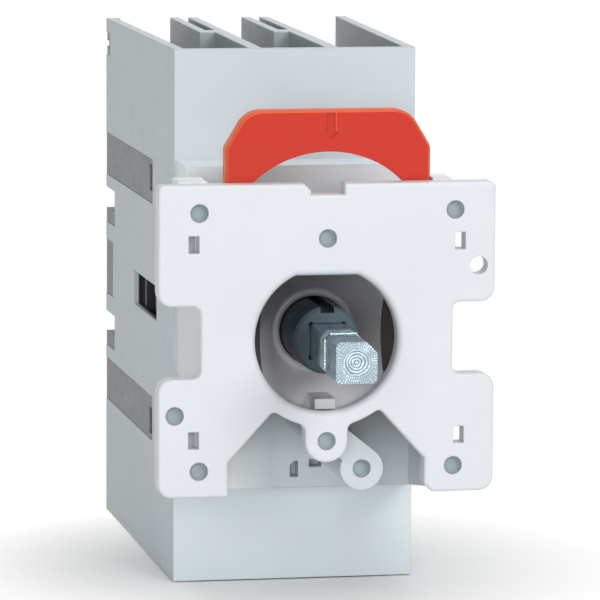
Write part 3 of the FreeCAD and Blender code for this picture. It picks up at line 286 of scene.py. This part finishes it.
def dark_plastic():
    """Dark teal-grey moulding of the turning parts, with painted light on faces that look along the shaft,
    lighter towards +X; the vanes beside the chamber carry painted shade and are nearly black.
    """
    s = plastic("dark_plastic", "182e38", 0.18, 0.010, rough=(0.34, 0.5), drift=0.08, edge_mm=0.15)
    facing = s.add("ShaderNodeSeparateXYZ")
    s.join(s.add("ShaderNodeNewGeometry").outputs["Normal"], facing.inputs[0])
    x = s.axes()[0]
    # Painted light: faces that look along the shaft are lighter, more so towards +X.
    front = s.mix(s.spread(x, 0, 1, -4.4 * MM, 0.5 * MM), linear("18252b"), linear("45555d"))
    face = s.mix(s.spread(s.math("ABSOLUTE", facing.outputs["Y"]), 0, 1, 0.4, 0.75), s.body_colour, front)
    # Painted shade: the vanes beside the chamber are nearly black.
    s.colour(s.mix(s.between(s.math("ABSOLUTE", x), VANES_FROM, 40), face, linear("2a282b")))
    return s.material


def base_plastic():
    """Darker grey moulding of the base and its arms, with painted shade in the catch pockets."""
    s = plastic("base_plastic", "7b8287", 0.2, 0.005, rough=(0.42, 0.55), drift=0.03, edge_mm=0.15)
    y, level = s.axes()[1], s.math("ABSOLUTE", s.axes()[2])
    # Painted shade in the catch pockets on the arms.
    catch = s.math("MULTIPLY", s.between(y, *CATCH_DEPTH), s.between(level, *CATCH_LEVEL))
    s.colour(s.mix(catch, s.body_colour, linear("666d72")))
    return s.material


def hole_grey():
    s = plastic("hole_grey", "9aa7ab", 0.3, 0.01, rough=(0.4, 0.5), drift=0.05)
    return s.material


def metal(name, code, rough, drift=0.06):
    s = Shader(name)
    s.surface.inputs["Metallic"].default_value = 1.0
    s.colour(s.mix(s.spread(s.noise(2.6, 4), 0, 1), shade(code, 1 - drift), shade(code, 1 + drift)))
    s.roughness(s.spread(s.noise(0.9, 3), *rough))
    return s


def zinc_steel():
    """Zinc-plated steel: cut rings and radial chatter on the end, drawn streaks along the flats, and a painted
    highlight on the shoulder.
    """
    s = metal("zinc_steel", "99b0ba", (0.24, 0.4), drift=0.1)
    flank = s.surface.inputs["Base Color"].links[0].from_socket
    x, y, z = s.axes()
    radius = s.math("ADD", s.length(x, z), s.math("MULTIPLY", s.noise(2.2, 4), 0.0008))
    turn = s.math("ARCTAN2", z, x)
    rings = s.math("SINE", s.math("MULTIPLY", radius, 2 * math.pi / (0.40 * MM)))
    chatter = s.math("MULTIPLY", s.math("SINE", s.math("ADD", s.math("MULTIPLY", turn, 52.0),
                                                       s.math("MULTIPLY", s.noise(0.6, 3), 7.0))),
                     s.spread(s.noise(0.8, 2), 0.1, 1.0))
    outer = s.spread(radius, 0, 1, 2.0 * MM, 2.4 * MM)
    relief = s.math("ADD", s.math("MULTIPLY", rings, s.math("SUBTRACT", 1.0, outer)),
                    s.math("MULTIPLY", s.math("ADD", chatter, s.math("MULTIPLY", rings, 0.25)), outer))
    facing = s.add("ShaderNodeSeparateXYZ")
    s.join(s.add("ShaderNodeNewGeometry").outputs["Normal"], facing.inputs[0])
    front = s.math("ABSOLUTE", facing.outputs["Y"])
    end = s.math("GREATER_THAN", front, 0.8)
    bright = s.mix(s.spread(relief, 0, 1, -0.9, 0.9), linear("7b9099"), linear("c6d6dd"))
    # Painted highlight: the shoulder is a pale teal-white.
    shoulder = s.between(y, *SHAFT_SHOULDER)
    s.colour(s.mix(shoulder, s.mix(end, flank, bright), linear("cfe2e2")))
    s.bump(s.math("MULTIPLY", relief, end), 0.015)
    s.bump(s.noise(0.35, 3, stretch=(1, 6, 1)), 0.03)
    return s.material


def spring_steel():
    s = metal("spring_steel", "9a9da1", (0.25, 0.35))
    return s.material


def copper_bar():
    s = metal("copper_bar", "c08a66", (0.3, 0.5), drift=0.15)
    s.bump(s.noise(0.5, 3), 0.01)
    return s.material


def plated_screw():
    s = metal("plated_screw", "b9bbb8", (0.25, 0.45), drift=0.12)
    s.bump(s.noise(0.4, 3), 0.01)
    return s.material


MAKERS = (white_plastic, grey_plastic, base_plastic, orange_plastic, dark_plastic,
          zinc_steel, spring_steel, copper_bar, plated_screw)
SLOTS = {make.__name__: make() for make in MAKERS}
HOLE_GREY = hole_grey()
# Painted shade: the grey of the wedges in the plate's left slots.
SLOT_SHADE_GREY = plastic("slot_shade_grey", "b4b8bc", 0.3, 0.01, rough=(0.45, 0.55)).material
NODE_SLOTS = {part["node"]: part["material_slot"] for part in frame["record"]["subparts"]}


def dress(piece, material):
    piece.data.materials.clear()
    piece.data.materials.append(material)


def smooth_by_angle(piece, degrees):
    """Shades faces smoothly across edges flatter than the angle, and sharply elsewhere."""
    work = bmesh.new()
    work.from_mesh(piece.data)
    for edge in work.edges:
        edge.smooth = len(edge.link_faces) == 2 and edge.calc_face_angle() < math.radians(degrees)
    for face in work.faces:
        face.smooth = True
    work.to_mesh(piece.data)
    work.free()


def turned(name, profile, centre, body, material, steps=48):
    """A solid of revolution about a line along Y; the profile is (radius, y) in millimetres."""
    work = bmesh.new()
    rings = []
    for radius, y in profile:
        if radius == 0:
            rings.append([work.verts.new((centre[0] * MM, y * MM, centre[1] * MM))])
            continue
        rings.append([work.verts.new(((centre[0] + radius * math.cos(a)) * MM, y * MM,
                                      (centre[1] + radius * math.sin(a)) * MM))
                      for a in (2 * math.pi * i / steps for i in range(steps))])
    for low, high in zip(rings, rings[1:]):
        for i in range(steps):
            corners = [low[i % len(low)], low[(i + 1) % len(low)],
                       high[(i + 1) % len(high)], high[i % len(high)]]
            work.faces.new(list(dict.fromkeys(corners)))
    bmesh.ops.recalc_face_normals(work, faces=work.faces)
    mesh = bpy.data.meshes.new(name)
    work.to_mesh(mesh)
    work.free()
    piece = bpy.data.objects.new(name, mesh)
    bpy.context.scene.collection.objects.link(piece)
    dress(piece, material)
    smooth_by_angle(piece, 35)
    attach(piece, body)
    return piece


def hole_floors():
    """Dimpled grey floors in the pilot holes of the plate and the boss."""
    spots = [(s * PATTERN_HALF, t * PATTERN_HALF, 0) for s in (1, -1) for t in (1, -1)]
    spots += [(0, UPPER_HOLE_RISE, 0), (0, -EAR_DROP, 0), (*SIDE_HOLE, 0), (BOSS[0], BOSS[2], BOSS[1])]
    for number, (x, z, front) in enumerate(spots):
        floor = front + PILOT_DEEP
        profile = [(0, floor - 0.1), (PILOT_RADIUS * 0.62, floor - 0.12), (PILOT_RADIUS * 0.8, floor - 0.3),
                   (PILOT_RADIUS - 0.03, floor - 0.55), (PILOT_RADIUS - 0.03, floor - 0.02), (0, floor - 0.02)]
        turned(f"hole_floor_{number}", profile, (x, z), "housing", HOLE_GREY)


def slot_wedges():
    """A grey wedge in each left slot of the plate, standing for painted shade; a light strip is left beside it.
    """
    for number, level in enumerate((SLOT_LEVEL, -SLOT_LEVEL)):
        section = [(-19.46, 1.3), (-18.28, 1.9), (-18.28, 2.74), (-19.46, 2.74)]
        work = bmesh.new()
        low, high = ([work.verts.new((x * MM, y * MM, (level + rise) * MM)) for x, y in section]
                     for rise in (-1.17, 1.17))
        for i in range(len(section)):
            after = (i + 1) % len(section)
            work.faces.new((low[i], low[after], high[after], high[i]))
        work.faces.new(low)
        work.faces.new(high)
        bmesh.ops.recalc_face_normals(work, faces=work.faces)
        mesh = bpy.data.meshes.new(f"slot_wedge_{number}")
        work.to_mesh(mesh)
        work.free()
        piece = bpy.data.objects.new(f"slot_wedge_{number}", mesh)
        bpy.context.scene.collection.objects.link(piece)
        dress(piece, SLOT_SHADE_GREY)
        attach(piece, "housing")


# Camera, from the perspective of the photograph: turns in radians and the place of the origin in its view.
FOCAL_PIXELS = 4601.7
PICTURE_PIXELS = 600
TILT, SWING, ROLL = 0.137, -0.185, 0.006
ORIGIN_IN_VIEW = Vector((3.795, 5.621, 637.933)) * MM


def photograph_camera():
    turn = (Matrix.Rotation(ROLL, 3, "Z") @ Matrix.Rotation(TILT, 3, "X") @ Matrix.Rotation(SWING, 3, "Y")
            @ Matrix(((1, 0, 0), (0, 0, -1), (0, 1, 0))))
    data = bpy.data.cameras.new("photograph")
    data.sensor_width = 36.0
    data.lens = FOCAL_PIXELS / PICTURE_PIXELS * data.sensor_width
    data.clip_start, data.clip_end = 0.05, 50.0
    camera = bpy.data.objects.new("photograph", data)
    bpy.context.scene.collection.objects.link(camera)
    seen = Matrix.Diagonal((1, -1, -1)) @ turn
    place = seen.transposed().to_4x4()
    place.translation = -(turn.transposed() @ ORIGIN_IN_VIEW)
    camera.matrix_world = place
    bpy.context.scene.camera = camera


def lamp(name, place, aim, size, power):
    data = bpy.data.lights.new(name, "AREA")
    data.shape = "DISK"
    data.size = size
    data.energy = power
    piece = bpy.data.objects.new(name, data)
    bpy.context.scene.collection.objects.link(piece)
    piece.location = place
    piece.rotation_euler = (Vector(aim) - Vector(place)).to_track_quat("-Z", "Y").to_euler()
    return piece


def white_for_camera(tree, shader, white=1.0):
    """Shows plain white to the camera, in gloss and through glass, and lights by the shader's own value."""
    paths = tree.nodes.new("ShaderNodeLightPath")
    plain = tree.nodes.new("ShaderNodeBackground" if shader.type == "BACKGROUND" else "ShaderNodeEmission")
    plain.inputs["Color"].default_value = (white, white, white, 1)
    total = paths.outputs["Is Camera Ray"]
    for word in ("Is Glossy Ray", "Is Transmission Ray"):
        add = tree.nodes.new("ShaderNodeMath")
        add.operation = "MAXIMUM"
        tree.links.new(total, add.inputs[0])
        tree.links.new(paths.outputs[word], add.inputs[1])
        total = add.outputs[0]
    blend = tree.nodes.new("ShaderNodeMixShader")
    tree.links.new(total, blend.inputs[0])
    tree.links.new(shader.outputs[0], blend.inputs[1])
    tree.links.new(plain.outputs[0], blend.inputs[2])
    return blend


AMBIENT = 0.27


def studio():
    scene = bpy.context.scene
    scene.view_settings.view_transform = "Standard"
    world = bpy.data.worlds.new("studio")
    scene.world = world
    world.use_nodes = True
    tree = world.node_tree
    sky = tree.nodes["Background"]
    sky.inputs["Color"].default_value = (0.97, 0.985, 1.0, 1)
    sky.inputs["Strength"].default_value = AMBIENT
    tree.links.new(white_for_camera(tree, sky).outputs[0], tree.nodes["World Output"].inputs["Surface"])
    lamp("key", (0.45, -0.95, 0.6), (0, 0.02, 0), 0.6, 6.0)
    lamp("left_fill", (-0.35, -1.15, 0.2), (0, 0.02, 0), 0.6, 5.0)
    lamp("top", (0.0, 0.2, 1.0), (0, 0.03, 0), 0.7, 3.0)


def floor():
    """A round white floor under the switch; it keeps the shadow near the switch and is plain white beyond."""
    size = 6.0
    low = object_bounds()[0].z - 0.0002
    work = bmesh.new()
    bmesh.ops.create_circle(work, cap_ends=True, radius=size, segments=64)
    mesh = bpy.data.meshes.new("floor")
    work.to_mesh(mesh)
    work.free()
    piece = bpy.data.objects.new("floor", mesh)
    piece.location = (0, 35 * MM, low)
    bpy.context.scene.collection.objects.link(piece)
    s = Shader("floor")
    s.surface.inputs["Base Color"].default_value = (0.9, 0.9, 0.9, 1)
    s.surface.inputs["Roughness"].default_value = 0.9
    s.surface.inputs["Specular IOR Level"].default_value = 0.0
    distance = s.add("ShaderNodeVectorMath", operation="LENGTH")
    s.join(s.place, distance.inputs[0])
    far = s.spread(distance.outputs["Value"], 0, 1, start=0.015, end=0.05)
    plain = s.add("ShaderNodeEmission")
    blend = s.add("ShaderNodeMixShader")
    paths = s.add("ShaderNodeLightPath")
    shown = s.math("MAXIMUM", paths.outputs["Is Camera Ray"],
                   s.math("MAXIMUM", paths.outputs["Is Glossy Ray"], paths.outputs["Is Transmission Ray"]))
    s.join(s.math("MULTIPLY", far, shown), blend.inputs[0])
    s.join(s.surface.outputs[0], blend.inputs[1])
    s.join(plain.outputs[0], blend.inputs[2])
    s.join(blend.outputs[0], s.nodes["Material Output"].inputs["Surface"])
    piece.data.materials.append(s.material)
    piece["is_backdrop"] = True


for node, piece in frame["nodes"].items():
    dress(piece, SLOTS[NODE_SLOTS[node]])
    smooth_by_angle(piece, 32)

hole_floors()
slot_wedges()
photograph_camera()
studio()
floor()
